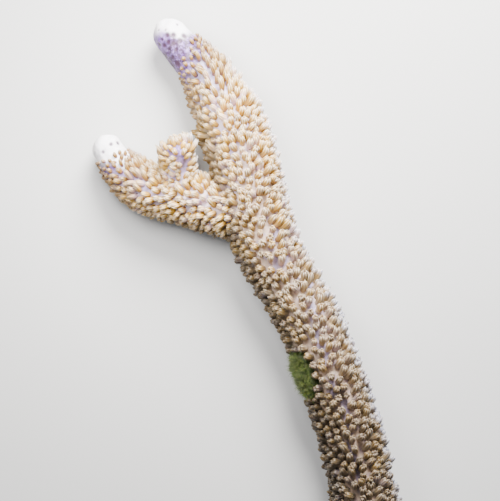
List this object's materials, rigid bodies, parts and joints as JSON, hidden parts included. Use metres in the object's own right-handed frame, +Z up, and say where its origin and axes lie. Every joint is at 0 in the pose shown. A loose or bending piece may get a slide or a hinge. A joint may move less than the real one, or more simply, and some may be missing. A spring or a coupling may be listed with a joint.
{
  "type": "gorgonian coral branch",
  "caption": "Cut branch of soft gorgonian coral with closed polyps all over, a forked top with bare pale tips and a tuft of green alga, lying on its side.",
  "frame": {"origin": "bottom centre of the box of the branch as it lies, on the surface it lies on", "axes": "+Y from the cut end towards the growing tips, +Z up away from the surface, +X towards the side the stem leans to at its cut end"},
  "size_m": [0.0462, 0.0764, 0.0112],
  "materials": {
    "coral_flesh": "moist, soft and translucent, lavender white skin under tan polyps with cream tentacle tips",
    "turf_alga": "wet green fuzz"
  },
  "bodies": {
    "root": {"stem": "coral_flesh", "upper_branch": "coral_flesh", "left_branch": "coral_flesh", "side_shoot": "coral_flesh", "turf_alga": "turf_alga"}
  },
  "joints": []
}
